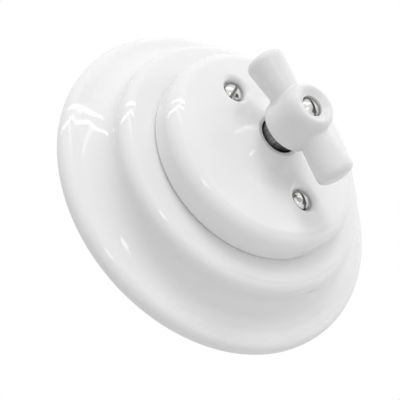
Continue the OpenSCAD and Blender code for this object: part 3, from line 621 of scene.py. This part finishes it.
def knob():
    """The knob's skin with the screw's seat, the spindle's hole and the ferrule's seat."""
    bm = knob_skin()
    axis = (0, 0)
    dish_r, foot_r = SEAT_R + DISH_EDGE, FERRULE_SEAT_R + FERRULE_EDGE
    dish_gap, dish_margin, foot_gap, foot_margin, clear = 0.5, 0.25, 0.2, 0.1, 1
    dish_rim = open_round(bm, axis, dish_r + dish_gap, ARM_Z, HUB_TOP + clear)
    foot_rim = open_round(bm, axis, foot_r + foot_gap, HUB_Z - clear, ARM_Z - clear)

    def skin_height(r):
        return float(knob_reach(np.array([r, 0.0, ARM_Z]), np.array([0.0, 0.0, 1.0]))[2])

    web_z, ferrule_z = SEAT_Z - WEB_T, HUB_Z + FERRULE_SEAT_H
    section = [
        (dish_r + dish_margin, skin_height(dish_r + dish_margin)),
        *arc((dish_r, skin_height(dish_r) - DISH_EDGE), DISH_EDGE, 90, 180, 6),
        (SEAT_R, SEAT_Z),
        (HOLE_R, SEAT_Z),
        (HOLE_R, web_z),
        (SPINDLE_HOLE_R, web_z),
        (SPINDLE_HOLE_R, ferrule_z),
        (FERRULE_SEAT_R, ferrule_z),
        *arc((foot_r, HUB_Z + FERRULE_EDGE), FERRULE_EDGE, 180, 270, 6),
        (foot_r + foot_margin, HUB_Z),
    ]
    rings = [add_ring(bm, circle_points(axis, r, z, SEAT_STEPS)) for r, z in section]
    stitch(bm, dish_rim, rings[0])
    join_rings(bm, rings)
    stitch(bm, foot_rim, rings[-1])
    return bm


# Screws

def slotted_screw(length, turn):
    """A domed, slotted screw with its head on z = 0."""
    dome_h = HEAD_H - HEAD_RIM
    dome_r = (HEAD_R ** 2 + dome_h ** 2) / (2 * dome_h)
    reach = math.degrees(math.asin((HEAD_R - HEAD_CHAMFER) / dome_r))
    section = [
        (0, HEAD_H),
        *arc((0, HEAD_H - dome_r), dome_r, 89, 90 - reach, 22),
        *arc((HEAD_R - HEAD_EDGE, HEAD_RIM - HEAD_EDGE), HEAD_EDGE, 60, 0, 4),
        (HEAD_R, HEAD_CHAMFER),
        (HEAD_R - HEAD_CHAMFER, 0),
        (SCREW_R, 0),
        (SCREW_R, SCREW_TIP - length),
        (SCREW_R - SCREW_TIP, -length),
        (0, -length),
    ]
    head = turned_solid(section, HEAD_STEPS)
    bmesh.ops.recalc_face_normals(head, faces=head.faces)
    slot = bmesh.new()
    slot_l, slot_h = 4 * HEAD_R, 2
    bmesh.ops.create_cube(slot, size=1)
    bmesh.ops.transform(slot, matrix=Matrix.Diagonal((slot_l, SLOT_W, slot_h, 1)), verts=slot.verts)
    bmesh.ops.translate(slot, vec=(0, 0, HEAD_H - SLOT_DEPTH + slot_h / 2), verts=slot.verts)
    bmesh.ops.rotate(slot, matrix=Matrix.Rotation(math.radians(turn), 3, "Z"), verts=slot.verts)
    return cut(head, slot)


def screws(node, length, places):
    """Slotted screws at [x, y, z, slot turn], with what their plating needs to know of each point."""
    bm = bmesh.new()
    radius, hollow = bm.verts.layers.float.new("radius"), bm.verts.layers.float.new("hollow")
    near = 0.01
    for x, y, z, turn in places:
        screw = slotted_screw(length, turn)
        across = Vector((-math.sin(math.radians(turn)), math.cos(math.radians(turn)), 0))
        made = {}
        for v in screw.verts:
            in_slot = abs(v.co.dot(across)) < SLOT_W / 2 + near and v.co.z < HEAD_H - SLOT_DEPTH + near
            made[v] = bm.verts.new(v.co + Vector((x, y, z)))
            made[v][radius] = math.hypot(v.co.x, v.co.y)
            made[v][hollow] = float(in_slot)
        for f in screw.faces:
            bm.faces.new([made[v] for v in f.verts])
        screw.free()
    obj = piece(node, bm, FINISHES["nickel"], sharp=SCREW_SHARP)
    soften(obj, SCREW_EDGE)


piece("frame_ring", frame_ring(), FINISHES["porcelain"])
piece("cover_plate", cover_plate(), FINISHES["porcelain"])
piece("knob", knob(), KNOB_GLAZE)
COVER_SCREWS = [(0, SCREW_Y, RECESS_Z, UPPER_SLOT), (0, -SCREW_Y, RECESS_Z, LOWER_SLOT)]
KNOB_SCREW = [(0, 0, SEAT_Z, KNOB_SLOT)]
screws("cover_screws", COVER_SCREW_L, COVER_SCREWS)
screws("knob_screw", KNOB_SCREW_L, KNOB_SCREW)


# The other pieces keep their solids, with softened edges

REPLACED = {"frame_ring", "cover_plate", "knob", "cover_screws", "knob_screw"}
EDGES = {"switch_base": 0.35, "base_lid": 0.3, "bridge_plate": 0.15, "knob_ferrule": 0.03}
OTHER_EDGES = 0.08

for node, obj in frame["nodes"].items():
    if node in REPLACED:
        continue
    obj.data.materials.clear()
    obj.data.materials.append(FINISHES[SLOT[node]])
    weld = obj.modifiers.new("join_faces", "WELD")
    weld.merge_threshold = 1e-6
    soften(obj, EDGES.get(node, OTHER_EDGES))


# Studio

# The camera's place, its directions and its lens, fitted to the frame, the seam and the screws
CAMERA_PLACE = Vector((-0.1754, -0.1827, -0.0424))
CAMERA_RIGHT, CAMERA_UP = Vector((0.6899, -0.5132, -0.5106)), Vector((0.2883, -0.4522, 0.844))
LENS, SENSOR = 81.0, 36.0

# What the white around the switch gives to surfaces, and how white it looks
FILL_LIGHT, SEEN_WHITE = 0.615, 1.0

# The floor glows less where it keeps the shadow, and fully where it runs into the white
FLOOR_Z, FLOOR_R, SHADOW_R, WHITE_R, SHADOW_GLOW = -0.12, 6.0, 0.1, 0.35, 0.45

# The card's turn, rise and distance, and half its side
CARD_PLACE, CARD_HALF = (33, -24, 0.25), 0.12

# Lamps as turn, rise, distance, size, power and whether gloss shows them
LAMPS = {
    "side_light": (74, -2, 1.0, (0.5, 0.2), 2.3, False),
    "front_light": (6, 26, 1.2, (0.35, 0.35), 2.85, False),
    "top_light": (0, 80, 1.0, (0.45, 0.45), 1.2, False),
    "window": (-10, 3.8, 1.2, (0.36, 0.09), 0.4, True),
}

# Tubes as their light for each square metre and their way across the studio as turn, rise and width
TUBES = {
    "near_tube": (18.0, (
        (36.2, 19.6, 0.003), (29, 25.5, 0.008), (22, 31.8, 0.014), (10, 43.5, 0.02), (-5, 53, 0.026),
        (-22, 61, 0.028), (-45, 67.5, 0.028), (-75, 71, 0.028), (-110, 69, 0.028), (-125, 65, 0.02),
    )),
    "far_tube": (18.0, (
        (36.9, 20.4, 0.004), (28.5, 29.3, 0.012), (18, 41, 0.024),
        (5, 55.5, 0.026), (-9, 67, 0.022), (-48, 78, 0.012),
    )),
    "low_tube": (6.0, (
        (-5, 53, 0.06), (3, 42.5, 0.06), (11, 33, 0.05), (17, 27, 0.04), (21, 23.5, 0.02),
    )),
}
TUBE_DISTANCE = 0.8


def aim(turn, rise):
    """The direction turn degrees to the right of straight ahead of the switch and rise degrees up."""
    turn, rise = math.radians(turn), math.radians(rise)
    return Vector((math.sin(turn) * math.cos(rise), -math.cos(turn) * math.cos(rise), math.sin(rise)))


def placed(place, right, up):
    """Where an object stands whose own x and y run along right and up."""
    return Matrix.Translation(place) @ Matrix((right, up, right.cross(up))).transposed().to_4x4()


def camera():
    """The camera that took the photograph."""
    data = bpy.data.cameras.new("camera")
    data.lens, data.sensor_width = LENS, SENSOR
    data.clip_start, data.clip_end = 0.01, 20.0
    obj = add("camera", data)
    obj.matrix_world = placed(CAMERA_PLACE, CAMERA_RIGHT, CAMERA_UP)
    bpy.context.scene.camera = obj


def lamp(name, place, size, power, along=Vector((1, 0, 0)), glossy=True):
    """A soft rectangular lamp that faces the switch, its long side along a direction."""
    data = bpy.data.lights.new(name, "AREA")
    data.shape, data.size, data.size_y, data.energy = "RECTANGLE", size[0], size[1], power
    back = place.normalized()
    side = (along - along.dot(back) * back).normalized()
    obj = add(name, data)
    obj.matrix_world = placed(place, side, back.cross(side))
    obj.visible_camera = False
    obj.visible_glossy = glossy


def tube(name, glow, path):
    """A bright tube of straight lengths between the points of its path."""
    for i, (start, end) in enumerate(zip(path, path[1:])):
        first, last = (TUBE_DISTANCE * aim(turn, rise) for turn, rise, _ in (start, end))
        along, width = last - first, (start[2] + end[2]) / 2
        power = glow * along.length * width
        lamp(f"{name}_{i}", (first + last) / 2, (along.length, width), power, along=along)


def card():
    """A dark card before and below the switch, seen in gloss alone, for the dark side of the screws."""
    bm = bmesh.new()
    bmesh.ops.create_grid(bm, x_segments=1, y_segments=1, size=CARD_HALF)
    mesh = mesh_of(bm, "card")
    finish = Finish("dark_card")
    where = finish.place()
    black = finish.mix(finish.noise(where, scale=200.0), (0.02,) * 3, (0.04,) * 3)
    fade = finish.from_middle(where).above(CARD_HALF / 2, CARD_HALF)
    mesh.materials.append(finish.surface(base_color=black, roughness=0.8, alpha=1 - fade))
    turn, rise, distance = CARD_PLACE
    obj = add("card", mesh)
    obj.location = distance * aim(turn, rise)
    obj.rotation_mode = "QUATERNION"
    obj.rotation_quaternion = obj.location.to_track_quat("Z", "Y")
    obj.visible_camera = obj.visible_diffuse = obj.visible_shadow = False


def shown_rays(finish):
    """1 for what the camera sees, also in gloss and through glass, and 0 for light on other surfaces."""
    path = finish.node("ShaderNodeLightPath", output="Is Camera Ray")
    outputs = path.socket.node.outputs
    glossy, clear = (Value(finish, outputs[key]) for key in ("Is Glossy Ray", "Is Transmission Ray"))
    return path.math("MAXIMUM", path.math("MAXIMUM", path, glossy), clear)


def world():
    """White to the eye and in reflections, with a weaker, even light on the surfaces."""
    made = bpy.data.worlds.new("studio")
    bpy.context.scene.world = made
    finish = Finish("studio", made)
    white = {"Color": (1.0, 1.0, 1.0, 1.0)}
    fill = finish.node("ShaderNodeBackground", None, {**white, "Strength": FILL_LIGHT})
    seen = finish.node("ShaderNodeBackground", None, {**white, "Strength": SEEN_WHITE})
    both = finish.node("ShaderNodeMixShader", None, {0: shown_rays(finish), 1: fill, 2: seen})
    finish.node("ShaderNodeOutputWorld", None, {"Surface": both})


def floor():
    """A pale floor below the switch, which keeps its shadow near it and runs into the white further out."""
    bm = bmesh.new()
    bmesh.ops.create_circle(bm, cap_ends=True, segments=96, radius=FLOOR_R)
    mesh = mesh_of(bm, "floor")
    obj = add("floor", mesh)
    obj.location = (0, 0, FLOOR_Z)

    finish = Finish("pale_floor")
    where = finish.place()
    pale = finish.mix(finish.noise(where, scale=300.0), (0.74,) * 3, (0.78,) * 3)
    matt = finish.node("ShaderNodeBsdfDiffuse", None, {"Color": pale})
    glow = finish.node("ShaderNodeEmission", None, {"Color": (1.0, 1.0, 1.0, 1.0)})
    far = finish.from_middle(where).above(SHADOW_R, WHITE_R)
    shown = shown_rays(finish) * (SHADOW_GLOW + (1 - SHADOW_GLOW) * far)
    both = finish.node("ShaderNodeMixShader", None, {0: shown, 1: matt, 2: glow})
    finish.node("ShaderNodeOutputMaterial", None, {"Surface": both})
    mesh.materials.append(finish.owner)


camera()
world()
floor()
card()
for name, (turn, rise, distance, size, power, glossy) in LAMPS.items():
    lamp(name, distance * aim(turn, rise), size, power, glossy=glossy)
for name, (glow, path) in TUBES.items():
    tube(name, glow, path)

bpy.context.scene.view_settings.view_transform = "Standard"
